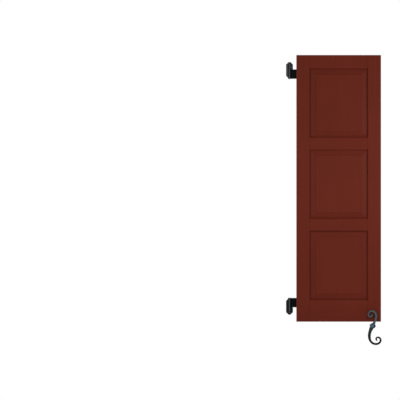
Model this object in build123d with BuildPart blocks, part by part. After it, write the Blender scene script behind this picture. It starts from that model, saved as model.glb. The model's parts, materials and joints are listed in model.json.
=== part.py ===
# Raised panel shutter: one leaf on strap hinges and plate pintles, with the scroll dog that holds
# it open. Millimetres.
#
# The wall is the plane Y = 0, the shutter stands in front of it towards -Y, and +Z is up. The pin
# axis stands at X = 0 and the open leaf runs along +X. The origin is the centre of the lower pintle
# plate's back face.

import os
from math import asin, ceil, degrees, sqrt

from build123d import *

os.makedirs("parts", exist_ok=True)

# Leaf
leaf_width = 457.0
leaf_height = 1440.0
leaf_thickness = 35.0
stile_width = 72.0
top_rail_height = 72.0
mid_rail_height = 66.0
bottom_rail_height = 117.0
panel_count = 3
edge_round = 1.5
sticking = 2.5  # chamfer worked round every opening, on both faces
sticking_slope = 45.0

# Joinery of the frame
groove_width = 10.0
groove_depth = 11.0
tenon_length = 45.0
tenon_shoulder = 14.0  # from the rail's edge to its tenon

# Raised panels
panel_swell = 2.0  # room left at each edge of a panel inside its groove
panel_play = 0.2  # between the panel's tongue and each wall of the groove
panel_setback = 3.0  # the raised field lies this far behind the frame's face
quirk = 1.0  # flat of the tongue that shows round the bevel
bevel_run = 24.0
bevel_rise = 5.2
cove_run = 9.5  # hollow between the bevel and the raised field

# Strap hinges
pin_standoff = 57.0  # wall to pin axis
leaf_gap = 37.0  # pin axis to the leaf's edge
pin_radius = 4.95
pin_clearance = 0.07
strap_thickness = 3.2
strap_height = 50.8
strap_reach = 60.0  # over the stile
strap_inset = 103.0  # leaf's end to the strap's centre line
strap_corner = 14.0
roll_seam = 0.8  # slit left where the rolled knuckle comes back to the strap
strap_screw_spacing = (26.0, 26.0)
strap_screw_radius = 2.6
strap_screw_head = 5.0

# Plate pintles
plate_inset = 82.0  # leaf's end to the plate's centre
plate_width = 37.0
plate_height = 88.0
plate_thickness = 5.0
plate_cut = 13.0  # corners cut at 45 degrees
plate_edge = 0.8
screw_spacing = (22.0, 48.0)
screw_radius = 2.4
screw_head = 4.4
countersink_angle = 82.0
boss_radius = 8.2
boss_height = 31.0
boss_edge = 2.0
thrust_gap = 0.3  # under the knuckle that turns on the boss
pin_proud = 1.5
pin_tip = 1.2
arm_thickness = 11.0
arm_root_height = 29.0
arm_tip_height = 23.0
arm_edge = 2.0
spigot_radius = 4.5
spigot_clearance = 0.05
spigot_recess = 0.5  # the riveted end stays behind the plate's back face

# Scroll dog and its post
dog_inset = 44.0  # leaf's outer edge to the post
dog_drop = 22.0  # leaf's bottom edge to the post
dog_gap = 5.5  # leaf's face to the dog
bar_depth_share = 0.86  # the bar's depth as a share of its width
bar_depth_limit = 11.2
bar_turn_step = 18.0  # most that the bar turns from one section to the next, in degrees
bar_run_step = 14.0  # longest run from one section to the next
bar_tip_rounding = 4.0
bar_tip_shares = (0.04, 0.35, 1.0)  # places of the sections on each rounded tip
dog_boss_right = 18.8  # pivot to the corners of the lozenge
dog_boss_left = 21.5
dog_boss_width = 28.0
dog_boss_turn = -17.0
dog_boss_corner = 3.0
dog_boss_thickness = 12.0
dog_boss_edge = 2.0
post_radius = 7.0
post_flange_radius = 15.0
post_flange_thickness = 5.0
post_flange_dome = 3.0
post_collar_radius = 10.5
post_collar_thickness = 3.5
journal_radius = 5.0
journal_clearance = 0.07
dog_play = 0.2  # at the collar and under the head
head_radius = 8.5
head_height = 4.0
head_rim = 1.2
post_thread_radius = 4.25
post_thread_depth = 22.0

# The dog's bar from the tip of its upper scroll to the tip of its lower one, seen from the front
# and measured from the pivot: across, up, width.
dog_stations = [
    (-2.6, 63.4, 7.0),
    (-5.2, 55.0, 7.8),
    (-12.6, 47.8, 8.0),
    (-21.2, 52.0, 7.8),
    (-24.0, 62.3, 7.8),
    (-20.6, 71.4, 8.2),
    (-14.0, 76.6, 9.0),
    (-4.4, 79.2, 9.6),
    (6.4, 75.4, 10.0),
    (13.8, 67.4, 10.2),
    (17.8, 56.0, 10.4),
    (17.4, 42.0, 10.8),
    (13.4, 28.0, 11.8),
    (7.4, 16.0, 13.6),
    (-2.5, -2.0, 21.0),
    (-6.4, -9.0, 22.5),
    (-8.9, -15.0, 21.4),
    (-11.3, -21.0, 19.6),
    (-14.3, -29.0, 17.5),
    (-17.5, -40.0, 16.6),
    (-19.1, -52.0, 16.0),
    (-18.6, -64.0, 14.8),
    (-15.8, -76.0, 13.2),
    (-9.4, -86.5, 12.0),
    (-1.9, -93.3, 11.7),
    (14.6, -98.6, 11.5),
    (32.6, -94.2, 11.2),
    (42.2, -79.6, 10.6),
    (38.2, -67.0, 9.8),
    (27.2, -62.2, 9.0),
    (18.2, -67.6, 8.6),
    (18.9, -75.6, 8.2),
    (25.2, -79.0, 7.4),
]

# Places worked out from the sizes above
axis_y = -pin_standoff
knuckle_bore = pin_radius + pin_clearance
knuckle_radius = knuckle_bore + strap_thickness
leaf_back = axis_y + knuckle_bore
leaf_front = leaf_back - leaf_thickness
leaf_mid = (leaf_back + leaf_front) / 2
leaf_left = leaf_gap
leaf_right = leaf_gap + leaf_width
leaf_bottom = -plate_inset
leaf_top = leaf_bottom + leaf_height
leaf_mid_height = (leaf_bottom + leaf_top) / 2

opening_width = leaf_width - 2 * stile_width
opening_centre = (leaf_left + leaf_right) / 2
bottom_opening = leaf_bottom + bottom_rail_height
opening_pitch = (leaf_top - top_rail_height + mid_rail_height - bottom_opening) / panel_count
opening_height = opening_pitch - mid_rail_height
opening_centres = [
    (opening_centre, bottom_opening + opening_height / 2 + row * opening_pitch)
    for row in range(panel_count)
]

panel_tongue = groove_depth - panel_swell
panel_thickness = leaf_thickness - 2 * panel_setback
tongue_half = groove_width / 2 - panel_play
bevel_inset = panel_tongue + quirk + bevel_run
field_inset = bevel_inset + cove_run

strap_centre = leaf_bottom + strap_inset
strap_length = leaf_gap + strap_reach
boss_top = strap_centre - strap_height / 2 - thrust_gap
boss_bottom = boss_top - boss_height
arm_centre = (boss_top + boss_bottom) / 2
pin_length = thrust_gap + strap_height + pin_proud

dog_x = leaf_right - dog_inset
dog_z = leaf_bottom - dog_drop
dog_back = leaf_front - dog_gap
post_shoulder = dog_back + dog_play
head_seat = dog_back - dog_boss_thickness - dog_play
head_dome = head_height - head_rim
dome_radius = (head_radius**2 + head_dome**2) / (2 * head_dome)
dome_angle = degrees(asin(head_radius / dome_radius))

# Planes seen from the front and from the back
front_plane = Plane.XZ
back_view = Plane(origin=(0, 0, 0), x_dir=(-1, 0, 0), z_dir=(0, 1, 0))
frame_front = front_plane.offset(-leaf_front)
frame_back = back_view.offset(leaf_back)
mid_height = Plane.XY.offset(leaf_mid_height)
strap_face = Plane(
    origin=(leaf_gap + strap_reach / 2, leaf_back + strap_thickness, strap_centre),
    x_dir=(-1, 0, 0),
    z_dir=(0, 1, 0),
)
post_axis = Axis((dog_x, 0, dog_z), (0, 1, 0))


# Cutter for the sticking, the chamfer round the openings on both faces
with BuildPart() as sticking_cutter:
    for face, side in ((frame_front, 1), (frame_back, -1)):
        with BuildSketch(face):
            with Locations(*[(side * x, z) for x, z in opening_centres]):
                Rectangle(opening_width + 2 * sticking, opening_height + 2 * sticking)
        extrude(amount=-sticking, taper=sticking_slope)


def save(piece, label):
    piece.part.label = label
    export_step(piece.part, f"parts/{label}.step")


# Each rail as its bottom edge, its height and which of its edges take a panel
rails = {
    "bottom_rail": (leaf_bottom, bottom_rail_height, ("top",)),
    "lower_mid_rail": (bottom_opening + opening_height, mid_rail_height, ("bottom", "top")),
    "upper_mid_rail": (
        bottom_opening + opening_height + opening_pitch,
        mid_rail_height,
        ("bottom", "top"),
    ),
    "top_rail": (leaf_top - top_rail_height, top_rail_height, ("bottom",)),
}


def make_stile(label, outer_x, inward):
    """A full height stile, its groove and mortises on the side that inward points to."""
    inner_x = outer_x + inward * stile_width
    with BuildPart() as stile:
        with BuildSketch(Plane.XY.offset(leaf_bottom)):
            with Locations(((outer_x + inner_x) / 2, leaf_mid)):
                Rectangle(stile_width, leaf_thickness)
        extrude(amount=leaf_height)
        inner_face = stile.faces().sort_by(Axis.X)[-1 if inward > 0 else 0]
        fillet(stile.edges() - inner_face.edges(), edge_round)
        with BuildSketch(Plane.XY.offset(leaf_bottom)):
            with Locations((inner_x - inward * groove_depth / 2, leaf_mid)):
                Rectangle(groove_depth, groove_width)
        extrude(amount=leaf_height, mode=Mode.SUBTRACT)
        for bottom, height, _ in rails.values():
            with Locations((inner_x - inward * tenon_length / 2, leaf_mid, bottom + height / 2)):
                Box(
                    tenon_length, groove_width, height - 2 * tenon_shoulder, mode=Mode.SUBTRACT
                )
        add(sticking_cutter.part, mode=Mode.SUBTRACT)
    save(stile, label)


def make_rail(label, bottom, height, panel_edges):
    """A rail with its haunches, tenons and panel grooves."""
    middle = bottom + height / 2
    with BuildPart() as rail:
        with Locations((opening_centre, leaf_mid, middle)):
            Box(opening_width, leaf_thickness, height)
        for edge, top_side in (("bottom", False), ("top", True)):
            if edge not in panel_edges:
                outer = rail.edges().filter_by(Axis.X).group_by(Axis.Z)[-1 if top_side else 0]
                fillet(outer, edge_round)
        with Locations((opening_centre, leaf_mid, middle)):
            Box(opening_width + 2 * groove_depth, groove_width, height)
            Box(opening_width + 2 * tenon_length, groove_width, height - 2 * tenon_shoulder)
        for edge in panel_edges:
            groove_z = bottom + groove_depth / 2
            if edge == "top":
                groove_z = bottom + height - groove_depth / 2
            with Locations((opening_centre, leaf_mid, groove_z)):
                Box(leaf_width, groove_width, groove_depth, mode=Mode.SUBTRACT)
        add(sticking_cutter.part, mode=Mode.SUBTRACT)
    save(rail, label)


def make_panel(label, centre):
    """A panel raised on both faces by a cutter run along its four edges."""
    width = opening_width + 2 * panel_tongue
    height = opening_height + 2 * panel_tongue
    x, z = centre
    with BuildPart() as panel:
        with Locations((x, leaf_mid, z)):
            Box(width, panel_thickness, height)
        for section, across, along in (
            (Plane(origin=(x, leaf_mid, z), x_dir=(1, 0, 0), z_dir=(0, 0, 1)), width, height),
            (Plane(origin=(x, leaf_mid, z), x_dir=(0, 0, 1), z_dir=(1, 0, 0)), height, width),
        ):
            with BuildSketch(section):
                with BuildLine():
                    slope = Polyline(
                        (across / 2, panel_thickness / 2),
                        (across / 2, tongue_half),
                        (across / 2 - panel_tongue - quirk, tongue_half),
                        (across / 2 - bevel_inset, tongue_half + bevel_rise),
                    )
                    field_edge = (across / 2 - field_inset, panel_thickness / 2)
                    TangentArc(slope @ 1, field_edge, tangent=slope % 1)
                    Line(field_edge, slope @ 0)
                make_face()
                mirror(about=Plane.YZ)
                mirror(about=Plane.XZ)
            extrude(amount=along / 2, both=True, mode=Mode.SUBTRACT)
    save(panel, label)


# The leaf's woodwork
make_stile("hinge_stile", leaf_left, 1)
make_stile("outer_stile", leaf_right, -1)
for rail_name, (rail_bottom, rail_height, grooved) in rails.items():
    make_rail(rail_name, rail_bottom, rail_height, grooved)
for panel_name, panel_centre in zip(("bottom_panel", "middle_panel", "top_panel"), opening_centres):
    make_panel(panel_name, panel_centre)

# Strap with its rolled knuckle, screwed to the back of the hinge stile
with BuildPart() as lower_strap:
    with BuildSketch(Plane.XY.offset(strap_centre - strap_height / 2)):
        with Locations((0, axis_y)):
            Circle(knuckle_radius)
        with Locations((0, leaf_back)):
            Rectangle(strap_length, strap_thickness, align=(Align.MIN, Align.MIN))
        with Locations((0, axis_y)):
            Circle(knuckle_bore, mode=Mode.SUBTRACT)
        with Locations((0, leaf_back)):
            Rectangle(
                knuckle_radius, roll_seam, align=(Align.MIN, Align.MAX), mode=Mode.SUBTRACT
            )
    extrude(amount=strap_height)
    fillet(lower_strap.edges().filter_by(Axis.Y).group_by(Axis.X)[-1], strap_corner)
    with Locations(strap_face.location):
        with GridLocations(*strap_screw_spacing, 2, 2):
            CounterSinkHole(
                strap_screw_radius, strap_screw_head, counter_sink_angle=countersink_angle
            )
save(lower_strap, "lower_strap")

with BuildPart() as upper_strap:
    mirror(lower_strap.part, about=mid_height)
save(upper_strap, "upper_strap")

# Wall plate with cut corners, four countersunk screw holes and the hole for the arm's spigot
with BuildPart() as lower_pintle_plate:
    with BuildSketch(front_plane):
        with BuildLine():
            Polyline(
                (0, plate_height / 2),
                (plate_width / 2 - plate_cut, plate_height / 2),
                (plate_width / 2, plate_height / 2 - plate_cut),
                (plate_width / 2, 0),
            )
            mirror(about=Plane.YZ)
            mirror(about=Plane.XZ)
        make_face()
    extrude(amount=plate_thickness)
    chamfer(lower_pintle_plate.faces().sort_by(Axis.Y)[0].edges(), plate_edge)
    with Locations(front_plane.offset(plate_thickness).location):
        with GridLocations(*screw_spacing, 2, 2):
            CounterSinkHole(screw_radius, screw_head, counter_sink_angle=countersink_angle)
        with Locations((0, arm_centre)):
            Hole(spigot_radius + spigot_clearance)
save(lower_pintle_plate, "lower_pintle_plate")

with BuildPart() as upper_pintle_plate:
    mirror(lower_pintle_plate.part, about=mid_height)
save(upper_pintle_plate, "upper_pintle_plate")

# Pintle: a forged arm riveted through the plate, the boss that the knuckle turns on, and the pin
with BuildPart() as lower_pintle:
    with BuildSketch(Plane.YZ):
        with BuildLine():
            Polyline(
                (-plate_thickness, arm_centre - arm_root_height / 2),
                (-plate_thickness, arm_centre + arm_root_height / 2),
                (axis_y, arm_centre + arm_tip_height / 2),
                (axis_y, arm_centre - arm_tip_height / 2),
                close=True,
            )
        make_face()
    extrude(amount=arm_thickness / 2, both=True)
    arm_sides = lower_pintle.edges().filter_by(Plane.YZ) - lower_pintle.edges().filter_by(Axis.Z)
    fillet(arm_sides, arm_edge)
    with BuildSketch(Plane.XY.offset(boss_bottom)):
        with Locations((0, axis_y)):
            Circle(boss_radius)
    extrude(amount=boss_height)
    fillet(lower_pintle.edges().filter_by(GeomType.CIRCLE).sort_by(Axis.Z)[0], boss_edge)
    with BuildSketch(Plane.XY.offset(boss_top)):
        with Locations((0, axis_y)):
            Circle(pin_radius)
    extrude(amount=pin_length)
    chamfer(lower_pintle.edges().filter_by(GeomType.CIRCLE).sort_by(Axis.Z)[-1], pin_tip)
    with BuildSketch(front_plane.offset(spigot_recess)):
        with Locations((0, arm_centre)):
            Circle(spigot_radius)
    extrude(amount=plate_thickness - spigot_recess)
save(lower_pintle, "lower_pintle")

with BuildPart() as upper_pintle:
    mirror(lower_pintle.part, about=mid_height)
save(upper_pintle, "upper_pintle")

# Post of the dog: wall flange, stem, collar, journal and riveted head, one turned piece
with BuildPart() as dog_post:
    with BuildSketch(Plane.XY.offset(dog_z)):
        with BuildLine():
            Polyline(
                (dog_x, 0),
                (dog_x + post_flange_radius, 0),
                (dog_x + post_flange_radius, -post_flange_thickness + post_flange_dome),
                (dog_x + post_radius, -post_flange_thickness),
                (dog_x + post_radius, post_shoulder + post_collar_thickness),
                (dog_x + post_collar_radius, post_shoulder + post_collar_thickness),
                (dog_x + post_collar_radius, post_shoulder),
                (dog_x + journal_radius, post_shoulder),
                (dog_x + journal_radius, head_seat),
                (dog_x + head_radius, head_seat),
                (dog_x + head_radius, head_seat - head_rim),
            )
            CenterArc(
                (dog_x, head_seat - head_height + dome_radius), dome_radius, -90, dome_angle
            )
            Line((dog_x, head_seat - head_height), (dog_x, 0))
        make_face()
    revolve(axis=post_axis)
    with Locations(Location((dog_x, 0, dog_z), (-90, 0, 0))):
        Hole(post_thread_radius, post_thread_depth)
save(dog_post, "dog_post")

# Scroll dog: a round bar, forged along a smooth S with a section set square to it at each step
dog_plane = Plane(
    origin=(dog_x, dog_back - dog_boss_thickness / 2, dog_z), x_dir=(1, 0, 0), z_dir=(0, -1, 0)
)
with BuildLine(dog_plane):
    dog_path = Spline(*[(across, up) for across, up, _ in dog_stations])
dog_knots = [
    dog_path.param_at_point(dog_plane.from_local_coords((across, up, 0)))
    for across, up, _ in dog_stations[1:-1]
]
dog_knots = [0.0] + dog_knots + [1.0]


def bar_width(place):
    """Width of the bar at a place from 0 to 1 along it, rounded off at both tips."""
    after = next(n for n in range(1, len(dog_knots)) if place <= dog_knots[n])
    share = (place - dog_knots[after - 1]) / (dog_knots[after] - dog_knots[after - 1])
    width = dog_stations[after - 1][2] * (1 - share) + dog_stations[after][2] * share
    to_tip = min(place, 1 - place) * dog_path.length
    if to_tip < bar_tip_rounding:
        width *= sqrt(1 - (1 - to_tip / bar_tip_rounding) ** 2)
    return width


def bar_sections():
    """Places along the bar: its rounded tips, its stations and as many between as they need."""
    tips = [share * bar_tip_rounding / dog_path.length for share in bar_tip_shares]
    places = []
    for start, end in zip(dog_knots, dog_knots[1:]):
        turn = dog_path.tangent_at(start).get_angle(dog_path.tangent_at(end))
        run = (end - start) * dog_path.length
        count = ceil(max(turn / bar_turn_step, run / bar_run_step))
        places += [start + (end - start) * step / count for step in range(count)]
    between = [place for place in places if tips[-1] < place < 1 - tips[-1]]
    return tips + between + [1 - place for place in reversed(tips)]


with BuildPart() as dog_boss:
    with BuildSketch(dog_plane.offset(-dog_boss_thickness / 2)) as lozenge:
        Polygon(
            (dog_boss_right, 0),
            (0, dog_boss_width / 2),
            (-dog_boss_left, 0),
            (0, -dog_boss_width / 2),
            rotation=dog_boss_turn,
            align=None,
        )
        fillet(lozenge.vertices(), dog_boss_corner)
    extrude(amount=dog_boss_thickness)
    chamfer(dog_boss.faces().sort_by(Axis.Y)[0].edges(), dog_boss_edge)

with BuildPart() as dog_scroll:
    for place in bar_sections():
        along = dog_path.tangent_at(place)
        square = dog_plane.z_dir.cross(along)
        with BuildSketch(Plane(origin=dog_path.position_at(place), x_dir=square, z_dir=along)):
            depth = min(bar_width(place) * bar_depth_share, bar_depth_limit)
            Ellipse(bar_width(place) / 2, depth / 2)
    loft(ruled=True)
    add(dog_boss.part)
    with Locations(dog_plane.location):
        Hole(journal_radius + journal_clearance)
save(dog_scroll, "dog_scroll")
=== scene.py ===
# Raised panel shutter: finishes, screws and studio for one leaf with its hinges and scroll dog
import json
from math import pi, radians, tan

import bmesh
import bpy
from mathutils import Matrix, Vector

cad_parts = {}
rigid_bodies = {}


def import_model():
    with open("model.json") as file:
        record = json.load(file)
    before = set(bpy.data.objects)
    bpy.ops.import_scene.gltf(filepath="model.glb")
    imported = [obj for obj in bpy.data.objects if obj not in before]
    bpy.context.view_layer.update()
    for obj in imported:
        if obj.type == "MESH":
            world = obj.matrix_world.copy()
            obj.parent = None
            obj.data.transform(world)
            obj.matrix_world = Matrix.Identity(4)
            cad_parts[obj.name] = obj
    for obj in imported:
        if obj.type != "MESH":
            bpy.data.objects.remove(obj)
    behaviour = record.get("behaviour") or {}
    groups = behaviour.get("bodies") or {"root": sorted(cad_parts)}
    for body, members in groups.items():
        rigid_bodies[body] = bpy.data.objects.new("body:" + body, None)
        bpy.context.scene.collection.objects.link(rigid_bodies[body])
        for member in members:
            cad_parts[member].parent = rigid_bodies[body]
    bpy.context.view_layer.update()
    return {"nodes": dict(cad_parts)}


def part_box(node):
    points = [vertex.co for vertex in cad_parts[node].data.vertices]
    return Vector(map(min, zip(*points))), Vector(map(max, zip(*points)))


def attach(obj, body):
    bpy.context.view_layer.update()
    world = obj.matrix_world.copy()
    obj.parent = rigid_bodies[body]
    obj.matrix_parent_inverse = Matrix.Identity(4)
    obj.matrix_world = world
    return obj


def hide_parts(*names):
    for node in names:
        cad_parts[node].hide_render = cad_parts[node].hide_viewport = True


for leftOver in list(bpy.data.objects):  # the start-up cube, lamp and camera
    bpy.data.objects.remove(leftOver)

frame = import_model()
nodes = frame["nodes"]
mm = 0.001  # in metres
metre = 1000  # in mm
plainWhite = (1, 1, 1, 1)


# sRGB hex to the linear values that the shaders take
def linearColour(hexCode):
    parts = [int(hexCode[i:i + 2], 16) / 255 for i in (1, 3, 5)]
    linear = [p / 12.92 if p <= 0.04045 else ((p + 0.055) / 1.055) ** 2.4 for p in parts]
    return (*linear, 1)


# settings go to the inputs by name or number, or else to the node itself; links go to inputs
def addNode(tree, kind, settings=None, links=None):
    node = tree.nodes.new(kind)
    for key, value in (settings or {}).items():
        if isinstance(key, int) or key in node.inputs:
            node.inputs[key].default_value = value
        else:
            setattr(node, key, value)
    for key, socket in (links or {}).items():
        tree.links.new(socket, node.inputs[key])
    return node


def newMaterial(name):
    material = bpy.data.materials.new(name)
    material.use_nodes = True
    material.node_tree.nodes.clear()
    return material, material.node_tree


print("camera")
view = {
    "acrossPicture": 2.16,  # metres, 400 pixels of 5.4 mm
    "middle": (-0.4833, 0.5752),  # X and Z at the picture's middle
    "distance": 6.0,
}
bpy.ops.object.camera_add(
    location=(view["middle"][0], -view["distance"], view["middle"][1]), rotation=(pi / 2, 0, 0)
)
camera = bpy.context.object
camera.name = "frontCamera"
camera.data.type = "ORTHO"
camera.data.ortho_scale = view["acrossPicture"]
bpy.context.scene.camera = camera
bpy.context.scene.view_settings.view_transform = "Standard"


print("studio")
studio = {
    "aim": (0.24, -0.07, 0.62),
    "ambient": 0.5,
    "softboxes": {  # place and size in metres, power in watts
        "key": {"place": (1.1, -1.3, 0.82), "size": 0.5, "power": 9.5},
        "fill": {"place": (-0.64, -1.8, 0.76), "size": 0.6, "power": 8.4},
        "rear": {"place": (0.9, 3.0, 1.4), "size": 2.4, "power": 58},
    },
    "floorHeight": -0.42,
    "floorSize": 14,
    "floorColour": "#F1F0EE",
    "floorShown": 0.6,  # share of plain white that the camera sees in it
}

# camera, gloss and glass see plain white, and the object is lit by the ambient level
world = bpy.data.worlds.new("paleStudio")
bpy.context.scene.world = world
world.use_nodes = True
tree = world.node_tree
tree.nodes.clear()
rays = addNode(tree, "ShaderNodeLightPath")
seen = addNode(tree, "ShaderNodeMath", {"operation": "MAXIMUM"},
               {0: rays.outputs["Is Camera Ray"], 1: rays.outputs["Is Glossy Ray"]})
seen = addNode(tree, "ShaderNodeMath", {"operation": "MAXIMUM"},
               {0: seen.outputs[0], 1: rays.outputs["Is Transmission Ray"]})
soft = addNode(tree, "ShaderNodeBackground",
               {"Color": plainWhite, "Strength": studio["ambient"]})
white = addNode(tree, "ShaderNodeBackground", {"Color": plainWhite, "Strength": 1})
choice = addNode(tree, "ShaderNodeMixShader", None,
                 {0: seen.outputs[0], 1: soft.outputs[0], 2: white.outputs[0]})
addNode(tree, "ShaderNodeOutputWorld", None, {"Surface": choice.outputs[0]})

for name, box in studio["softboxes"].items():
    aim = Vector(studio["aim"]) - Vector(box["place"])
    bpy.ops.object.light_add(
        type="AREA", location=box["place"], rotation=aim.to_track_quat("-Z", "Y").to_euler()
    )
    lamp = bpy.context.object
    lamp.name = name + "Softbox"
    lamp.data.size = box["size"]
    lamp.data.energy = box["power"]

bpy.ops.mesh.primitive_plane_add(
    size=studio["floorSize"], location=(studio["aim"][0], 0, studio["floorHeight"])
)
floor = bpy.context.object
floor.name = "paleFloor"
floorMaterial, tree = newMaterial("mattFloor")
matt = addNode(tree, "ShaderNodeBsdfDiffuse", {"Color": linearColour(studio["floorColour"])})
shown = addNode(tree, "ShaderNodeEmission", {"Color": plainWhite, "Strength": 1})
rays = addNode(tree, "ShaderNodeLightPath")
share = addNode(tree, "ShaderNodeMath", {"operation": "MULTIPLY", 1: studio["floorShown"]},
                {0: rays.outputs["Is Camera Ray"]})
surface = addNode(tree, "ShaderNodeMixShader", None,
                  {0: share.outputs[0], 1: matt.outputs[0], 2: shown.outputs[0]})
addNode(tree, "ShaderNodeOutputMaterial", None, {"Surface": surface.outputs[0]})
floor.data.materials.append(floorMaterial)


print("paint")
paint = {
    "colour": "#622418",
    "shade": "#5C2115",
    "joint": "#3A1108",
    "grain": {"width": 5.0, "length": 260, "detail": 3, "depth": 0.10},  # mm, bands of late wood
    "brush": {"width": 1.4, "length": 70, "detail": 2, "depth": 0.03},  # mm, marks of bristles
    "toneSize": 240,  # mm across one patch of slightly other tone
    "toneDetail": 2,
    "toneSpread": (0.7, 1.3),  # tone and grain added up, from all shade to all colour
    "footShade": (-0.06, 0.03),  # Z from the most painted shade at the leaf's foot to none
    "footShadeLevel": 0.92,
    "roughness": (0.42, 0.54),
    "specular": 0.05,
    "joints": (0.109, 0.422),  # X of the joints between stiles and rails
    "jointWidth": 0.9,  # mm, all on the rail's side, so that the stiles' inner edges stay clean
}


# Satin exterior paint brushed on pine: an even burgundy with a soft sheen, faint streaks of the
# brush along each member, the grain just showing through, a hairline at every joint and painted
# shade at the foot.
def brushedPaint(name, turn, hasJoints):
    material, tree = newMaterial(name)
    place = addNode(tree, "ShaderNodeTexCoord").outputs["Object"]
    along = addNode(tree, "ShaderNodeMapping", {"Rotation": turn}, {"Vector": place}).outputs[0]
    streaks = {}
    for kind in ("grain", "brush"):  # noise stretched along the member
        across, length = metre / paint[kind]["width"], metre / paint[kind]["length"]
        stretched = addNode(tree, "ShaderNodeMapping", {"Scale": (across, across, length)},
                            {"Vector": along})
        noise = addNode(tree, "ShaderNodeTexNoise",
                        {"Scale": 1, "Detail": paint[kind]["detail"]},
                        {"Vector": stretched.outputs[0]})
        streaks[kind] = noise.outputs["Fac"]
    tone = addNode(tree, "ShaderNodeTexNoise",
                   {"Scale": metre / paint["toneSize"], "Detail": paint["toneDetail"]},
                   {"Vector": place})
    blend = addNode(tree, "ShaderNodeMath", {"operation": "ADD"},
                    {0: tone.outputs["Fac"], 1: streaks["grain"]})
    spread = addNode(tree, "ShaderNodeMapRange",
                     {"From Min": paint["toneSpread"][0], "From Max": paint["toneSpread"][1]},
                     {"Value": blend.outputs[0]})
    tones = addNode(tree, "ShaderNodeMix",
                    {"data_type": "RGBA", 6: linearColour(paint["shade"]),
                     7: linearColour(paint["colour"])},
                    {0: spread.outputs[0]})

    # painted shade: the foot of the leaf is a little darker
    axes = addNode(tree, "ShaderNodeSeparateXYZ", None, {0: place}).outputs
    lessShadeUpward = addNode(tree, "ShaderNodeMapRange",
                    {"From Min": paint["footShade"][0], "From Max": paint["footShade"][1],
                     "To Min": paint["footShadeLevel"]},
                    {"Value": axes["Z"]})
    colour = addNode(tree, "ShaderNodeVectorMath", {"operation": "SCALE"},
                     {0: tones.outputs[2], "Scale": lessShadeUpward.outputs[0]}).outputs[0]

    if hasJoints:  # hairline where the rails' shoulders meet the stiles
        first, second = [
            addNode(tree, "ShaderNodeMath",
                    {"operation": "COMPARE", 1: x, 2: paint["jointWidth"] * mm},
                    {0: axes["X"]}).outputs[0]
            for x in paint["joints"]
        ]
        line = addNode(tree, "ShaderNodeMath", {"operation": "MAXIMUM"}, {0: first, 1: second})
        colour = addNode(tree, "ShaderNodeMix",
                         {"data_type": "RGBA", 7: linearColour(paint["joint"])},
                         {0: line.outputs[0], 6: colour}).outputs[2]

    rough = addNode(tree, "ShaderNodeMapRange",
                    {"To Min": paint["roughness"][0], "To Max": paint["roughness"][1]},
                    {"Value": streaks["brush"]})
    grainBump = addNode(tree, "ShaderNodeBump", {"Distance": paint["grain"]["depth"] * mm},
                        {"Height": streaks["grain"]})
    brushBump = addNode(tree, "ShaderNodeBump", {"Distance": paint["brush"]["depth"] * mm},
                        {"Height": streaks["brush"], "Normal": grainBump.outputs[0]})
    surface = addNode(tree, "ShaderNodeBsdfPrincipled",
                      {"Specular IOR Level": paint["specular"]},
                      {"Base Color": colour, "Roughness": rough.outputs[0],
                       "Normal": brushBump.outputs[0]})
    addNode(tree, "ShaderNodeOutputMaterial", None, {"Surface": surface.outputs[0]})
    return material


uprightPaint = brushedPaint("burgundyPaintUpright", (0, 0, 0), False)
levelPaint = brushedPaint("burgundyPaintLevel", (0, pi / 2, 0), True)
for name in ("hinge_stile", "outer_stile", "top_panel", "middle_panel", "bottom_panel"):
    nodes[name].material_slots[0].material = uprightPaint
for name in ("top_rail", "upper_mid_rail", "lower_mid_rail", "bottom_rail"):
    nodes[name].material_slots[0].material = levelPaint


print("hinges")
coat = {
    "smooth": {  # straps and pintles
        "colour": "#03060B",
        "worn": "#090D12",
        "grain": 1.1,  # mm between the coat's dimples, drawn coarser than the real 0.4 mm to show
        "depth": 0.02,  # mm
        "roughness": (0.2, 0.26),
    },
    "textured": {  # wall plates
        "colour": "#1A1D1C",
        "worn": "#585955",
        "grain": 1.6,
        "depth": 0.08,
        "roughness": (0.5, 0.65),
    },
    "grainDetail": 2,
    "patchSize": 16,  # mm across a patch that is rubbed or chalky
    "patchDetail": 3,
    "patchSpread": (0.35, 0.65),  # noise from least worn to most
    "leastWorn": 0.7,
    "greyByHeight": (0.1, 1.2),  # Z from where the plates are least grey to where they are most
    "leastGreyByHeight": 0.06,
    "crestHighlight": "#535659",  # painted highlight: a grey line down the front of the barrels and pins
    "crestHighlightReach": (0.0031, 0.0016),  # X from the pins' line, from no painted highlight to full
    "specular": 0.045,
}
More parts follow.
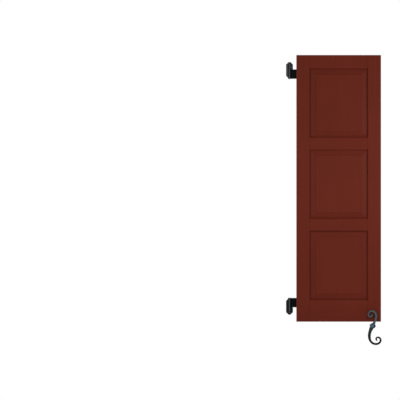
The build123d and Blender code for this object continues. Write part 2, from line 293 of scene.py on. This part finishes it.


# Black powder coat on steel. The smooth coat of straps and pintles is deep black, with a painted
# highlight:
# a grey line down the front of the barrels and pins, along their crests; the textured coat of the
# wall plates scatters the light and is drawn lighter grey towards the top, the upper plate dark
# grey and the lower hardly.
def powderCoat(name, kind):
    finish = coat[kind]
    material, tree = newMaterial(name)
    place = addNode(tree, "ShaderNodeTexCoord").outputs["Object"]
    peel = addNode(tree, "ShaderNodeTexNoise",
                   {"Scale": metre / finish["grain"], "Detail": coat["grainDetail"]},
                   {"Vector": place})
    patch = addNode(tree, "ShaderNodeTexNoise",
                    {"Scale": metre / coat["patchSize"], "Detail": coat["patchDetail"]},
                    {"Vector": place})
    worn = addNode(tree, "ShaderNodeMapRange",
                   {"From Min": coat["patchSpread"][0], "From Max": coat["patchSpread"][1],
                    "To Min": coat["leastWorn"]},
                   {"Value": patch.outputs["Fac"]}).outputs[0]
    axes = addNode(tree, "ShaderNodeSeparateXYZ", None, {0: place}).outputs
    # the plates are drawn lighter grey towards the top, the upper plate much more than the lower
    if kind == "textured":
        greyByHeight = addNode(tree, "ShaderNodeMapRange",
                      {"From Min": coat["greyByHeight"][0], "From Max": coat["greyByHeight"][1],
                       "To Min": coat["leastGreyByHeight"]},
                      {"Value": axes["Z"]})
        worn = addNode(tree, "ShaderNodeMath", {"operation": "MULTIPLY"},
                       {0: worn, 1: greyByHeight.outputs[0]}).outputs[0]
    colour = addNode(tree, "ShaderNodeMix",
                     {"data_type": "RGBA", 6: linearColour(finish["colour"]),
                      7: linearColour(finish["worn"])},
                     {0: worn}).outputs[2]
    # painted highlight: a grey line along the front of every barrel and pin, where X is near zero
    if kind == "smooth":
        aside = addNode(tree, "ShaderNodeMath", {"operation": "ABSOLUTE"}, {0: axes["X"]})
        crestHighlight = addNode(tree, "ShaderNodeMapRange",
                        {"From Min": coat["crestHighlightReach"][0], "From Max": coat["crestHighlightReach"][1]},
                        {"Value": aside.outputs[0]})
        paintedHighlight = addNode(tree, "ShaderNodeMath", {"operation": "MULTIPLY"},
                         {0: worn, 1: crestHighlight.outputs[0]})
        colour = addNode(tree, "ShaderNodeMix",
                         {"data_type": "RGBA", 7: linearColour(coat["crestHighlight"])},
                         {0: paintedHighlight.outputs[0], 6: colour}).outputs[2]
    rough = addNode(tree, "ShaderNodeMapRange",
                    {"To Min": finish["roughness"][0], "To Max": finish["roughness"][1]},
                    {"Value": worn})
    bump = addNode(tree, "ShaderNodeBump", {"Distance": finish["depth"] * mm},
                   {"Height": peel.outputs["Fac"]})
    surface = addNode(tree, "ShaderNodeBsdfPrincipled", {"Specular IOR Level": coat["specular"]},
                      {"Base Color": colour, "Roughness": rough.outputs[0],
                       "Normal": bump.outputs[0]})
    addNode(tree, "ShaderNodeOutputMaterial", None, {"Surface": surface.outputs[0]})
    return material


smoothCoat = powderCoat("smoothBlackPowderCoat", "smooth")
texturedCoat = powderCoat("texturedBlackPowderCoat", "textured")
for side in ("upper_", "lower_"):
    nodes[side + "strap"].material_slots[0].material = smoothCoat
    nodes[side + "pintle"].material_slots[0].material = smoothCoat
    nodes[side + "pintle_plate"].material_slots[0].material = texturedCoat


print("screws")
screw = {  # sizes in mm
    "sides": 32,
    "slope": 41,  # degrees, half of the countersink
    "dome": 0.35,
    "domeRings": ((0.55, 0.7), (0.5, 0.3)),  # shares of the last ring's width and of the dome
    "recess": (4.4, 1.0, 1.5),  # length, width and depth of each arm of the cross
    "roundTo": 0.6,  # radians, the steepest edge that is shaded round
    "turns": (12, 51, 78, 33, 64, 5, 40, 87),  # degrees, how each screw happened to stop
    "plate": {  # head and shank are radii, face is the Y of the screw's face
        "head": 4.3, "shank": 2.25, "length": 4.9, "face": -5.0, "spacing": (22, 48),
        "coat": texturedCoat,
    },
    "strap": {
        "head": 4.9, "shank": 2.45, "length": 14.0, "face": -48.78, "spacing": (26, 26),
        "coat": smoothCoat,
        "middle": 67,  # X, halfway between the four screws
    },
}


# One countersunk screw with its head's face at the origin, pointing along +Z
def makeScrew(name, size):
    head, shank, dome = size["head"] * mm, size["shank"] * mm, screw["dome"] * mm
    bpy.ops.object.select_all(action="DESELECT")
    bpy.ops.mesh.primitive_cylinder_add(
        vertices=screw["sides"], radius=shank, depth=size["length"] * mm,
        location=(0, 0, -size["length"] * mm / 2),
    )
    piece = bpy.context.object
    piece.name = name
    bpy.ops.object.transform_apply(location=True, rotation=True, scale=True)
    bpy.ops.object.mode_set(mode="EDIT")
    mesh = bmesh.from_edit_mesh(piece.data)
    for face in mesh.faces:
        face.select = face.normal.z > 0.5
    bmesh.update_edit_mesh(piece.data)
    # lower the shank's end to where the cone starts, then draw out the cone and the head's dome
    cone = (head - shank) / tan(radians(screw["slope"]))
    bpy.ops.transform.translate(value=(0, 0, -cone))
    bpy.ops.mesh.extrude_region_move(TRANSFORM_OT_translate={"value": (0, 0, cone)})
    bpy.ops.transform.resize(value=(head / shank, head / shank, 1))
    for part, rise in screw["domeRings"]:
        bpy.ops.mesh.extrude_region_move(TRANSFORM_OT_translate={"value": (0, 0, dome * rise)})
        bpy.ops.transform.resize(value=(part, part, 1))
    bpy.ops.object.mode_set(mode="OBJECT")
    length, width, depth = [side * mm for side in screw["recess"]]
    for sides in ((length, width, 2 * depth), (width, length, 2 * depth)):
        bpy.ops.object.select_all(action="DESELECT")
        bpy.ops.mesh.primitive_cube_add(size=1, location=(0, 0, dome))
        arm = bpy.context.object
        arm.scale = sides
        bpy.context.view_layer.objects.active = piece
        cut = piece.modifiers.new("cross", "BOOLEAN")
        cut.operation = "DIFFERENCE"
        cut.solver = "EXACT"
        cut.object = arm
        bpy.ops.object.modifier_apply(modifier=cut.name)
        bpy.data.objects.remove(arm)
    bpy.ops.object.select_all(action="DESELECT")
    piece.select_set(True)
    bpy.ops.object.shade_smooth_by_angle(angle=screw["roundTo"])
    piece.data.materials.append(size["coat"])
    return piece


# X and Z of every screw, four round the middle of each plate and of each strap's end
screwPlaces = {"plate": [], "strap": []}
for side in ("lower_", "upper_"):
    for kind, node in (("plate", "pintle_plate"), ("strap", "strap")):
        low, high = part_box(side + node)
        middle = (low + high) / 2
        if kind == "strap":
            middle.x = screw["strap"]["middle"] * mm
        across, up = [gap * mm / 2 for gap in screw[kind]["spacing"]]
        screwPlaces[kind] += [
            (middle.x + x, middle.z + z) for x in (-across, across) for z in (-up, up)
        ]

for kind, body in (("plate", "wall_hardware"), ("strap", "leaf")):
    pattern = makeScrew(kind + "ScrewPattern", screw[kind])
    facing = Matrix.Rotation(pi / 2 if kind == "plate" else -pi / 2, 4, "X")
    for number, (x, z) in enumerate(screwPlaces[kind]):
        copy = pattern.copy()
        copy.data = pattern.data.copy()
        copy.name = f"{kind}Screw{number + 1}"
        bpy.context.collection.objects.link(copy)
        stop = Matrix.Rotation(radians(screw["turns"][number]), 4, "Z")
        face = Matrix.Translation((x, screw[kind]["face"] * mm, z))
        copy.data.transform(face @ facing @ stop)
        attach(copy, body)
    bpy.data.objects.remove(pattern)


print("scroll dog")
iron = {
    "paintedLowShade": "#060707",  # painted shade on the lower scroll
    "dark": "#242A2A",  # the belly and the post
    "paintedHighlight": "#40545A",  # painted highlight on the boss and upper scroll
    "bossHighlight": "#466273",  # painted highlight in blue on the boss
    "paintedRimShade": "#171C1F",  # painted shade round it
    "lowShadeTo": (-0.195, -0.135),  # Z from all painted shade to none
    "highlightFrom": (-0.1218, -0.1065),  # Z from no painted highlight to full
    "highlightDepth": (-0.088, -0.093),  # Y from the post, left without the painted highlight, to the bar in front
    "boss": (0.447, -0.1045, -0.106),
    "bossHighlightReach": (0.0135, 0.0055),  # metres from the boss's middle, from no blue painted highlight to most
    "bossHighlightShare": 0.8,
    "rimShadeFrom": (0.0085, 0.012),  # the same, from no painted shade to most
    "rimShadeTo": (0.019, 0.015),
    "rimShadeShare": 0.75,
    "hammerSize": 9,  # mm across one hammer mark
    "hammerBlend": 0.6,
    "hammerDepth": 0.6,
    "scaleSize": 1.6,  # mm, grains of fire scale, drawn coarser than the real 0.3 mm
    "scaleDetail": 3,
    "scaleDepth": 0.05,
    "scaleSpread": (0.3, 0.7),  # noise from darkest grain to lightest
    "scaleShade": (0.8, 1.15),
    "roughness": (0.36, 0.5),
    "specular": 0.12,
    "mergeTo": 0.01,  # mm
    "roundTo": 0.62,  # radians, the steepest edge that is shaded round
}


# Hand forged iron, oiled. Its fire scale is near black and dull; a painted blue-grey highlight lies
# on the boss and the upper scroll, painted shade darkens the lower scroll and rings the boss, and
# soft facets of the hammer catch the light along the bar.
def forgedIron():
    material, tree = newMaterial("oiledForgedIron")
    place = addNode(tree, "ShaderNodeTexCoord").outputs["Object"]
    hammer = addNode(tree, "ShaderNodeTexVoronoi",
                     {"feature": "SMOOTH_F1", "Scale": metre / iron["hammerSize"],
                      "Smoothness": iron["hammerBlend"]},
                     {"Vector": place})
    scale = addNode(tree, "ShaderNodeTexNoise",
                    {"Scale": metre / iron["scaleSize"], "Detail": iron["scaleDetail"]},
                    {"Vector": place}).outputs["Fac"]
    axes = addNode(tree, "ShaderNodeSeparateXYZ", None, {0: place}).outputs
    # painted shade: the scroll is darker towards the bottom
    lessShadeUpward = addNode(tree, "ShaderNodeMapRange",
                    {"From Min": iron["lowShadeTo"][0], "From Max": iron["lowShadeTo"][1]},
                    {"Value": axes["Z"]})
    high = addNode(tree, "ShaderNodeMapRange",
                   {"From Min": iron["highlightFrom"][0], "From Max": iron["highlightFrom"][1]},
                   {"Value": axes["Z"]})
    near = addNode(tree, "ShaderNodeMapRange",
                   {"From Min": iron["highlightDepth"][0], "From Max": iron["highlightDepth"][1]},
                   {"Value": axes["Y"]})
    paintedHighlight = addNode(tree, "ShaderNodeMath", {"operation": "MULTIPLY"},
                     {0: high.outputs[0], 1: near.outputs[0]})
    toBoss = addNode(tree, "ShaderNodeVectorMath", {"operation": "DISTANCE", 1: iron["boss"]},
                     {0: place}).outputs["Value"]
    bossHighlightMask = addNode(tree, "ShaderNodeMapRange",
                   {"From Min": iron["bossHighlightReach"][0], "From Max": iron["bossHighlightReach"][1],
                    "To Max": iron["bossHighlightShare"]},
                   {"Value": toBoss})
    inner = addNode(tree, "ShaderNodeMapRange",
                    {"From Min": iron["rimShadeFrom"][0], "From Max": iron["rimShadeFrom"][1],
                     "To Max": iron["rimShadeShare"]},
                    {"Value": toBoss})
    outer = addNode(tree, "ShaderNodeMapRange",
                    {"From Min": iron["rimShadeTo"][0], "From Max": iron["rimShadeTo"][1]},
                    {"Value": toBoss})
    paintedRimShade = addNode(tree, "ShaderNodeMath", {"operation": "MULTIPLY"},
                  {0: inner.outputs[0], 1: outer.outputs[0]})
    colour = addNode(tree, "ShaderNodeMix",
                     {"data_type": "RGBA", 6: linearColour(iron["paintedLowShade"]),
                      7: linearColour(iron["dark"])},
                     {0: lessShadeUpward.outputs[0]}).outputs[2]
    # painted highlight on the upper scroll and boss, painted shade round the boss, a blue painted
    # highlight on its middle
    for share, finish in ((paintedHighlight, "paintedHighlight"), (paintedRimShade, "paintedRimShade"), (bossHighlightMask, "bossHighlight")):
        colour = addNode(tree, "ShaderNodeMix",
                         {"data_type": "RGBA", 7: linearColour(iron[finish])},
                         {0: share.outputs[0], 6: colour}).outputs[2]
    # grains of scale darken the colour a little, or lighten it
    speck = addNode(tree, "ShaderNodeMapRange",
                    {"From Min": iron["scaleSpread"][0], "From Max": iron["scaleSpread"][1],
                     "To Min": iron["scaleShade"][0], "To Max": iron["scaleShade"][1]},
                    {"Value": scale})
    colour = addNode(tree, "ShaderNodeVectorMath", {"operation": "SCALE"},
                     {0: colour, "Scale": speck.outputs[0]}).outputs[0]
    rough = addNode(tree, "ShaderNodeMapRange",
                    {"To Min": iron["roughness"][0], "To Max": iron["roughness"][1]},
                    {"Value": scale})
    hammerBump = addNode(tree, "ShaderNodeBump", {"Distance": iron["hammerDepth"] * mm},
                         {"Height": hammer.outputs["Distance"]})
    scaleBump = addNode(tree, "ShaderNodeBump", {"Distance": iron["scaleDepth"] * mm},
                        {"Height": scale, "Normal": hammerBump.outputs[0]})
    surface = addNode(tree, "ShaderNodeBsdfPrincipled", {"Specular IOR Level": iron["specular"]},
                      {"Base Color": colour, "Roughness": rough.outputs[0],
                       "Normal": scaleBump.outputs[0]})
    addNode(tree, "ShaderNodeOutputMaterial", None, {"Surface": surface.outputs[0]})
    return material


blackIron = forgedIron()
nodes["dog_post"].material_slots[0].material = blackIron

# the forged bar, its sections blended into one smooth skin
dogScroll = nodes["dog_scroll"].copy()
dogScroll.data = nodes["dog_scroll"].data.copy()
dogScroll.name = "scrollDogForging"
for key in list(dogScroll.keys()):
    del dogScroll[key]
bpy.context.collection.objects.link(dogScroll)
bpy.ops.object.select_all(action="DESELECT")
dogScroll.select_set(True)
bpy.context.view_layer.objects.active = dogScroll
bpy.ops.mesh.customdata_custom_splitnormals_clear()
bpy.ops.object.mode_set(mode="EDIT")
bpy.ops.mesh.select_all(action="SELECT")
bpy.ops.mesh.remove_doubles(threshold=iron["mergeTo"] * mm)
bpy.ops.mesh.normals_make_consistent(inside=False)
bpy.ops.object.mode_set(mode="OBJECT")
bpy.ops.object.shade_smooth_by_angle(angle=iron["roundTo"])
dogScroll.material_slots[0].material = blackIron
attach(dogScroll, "dog")
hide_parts("dog_scroll")
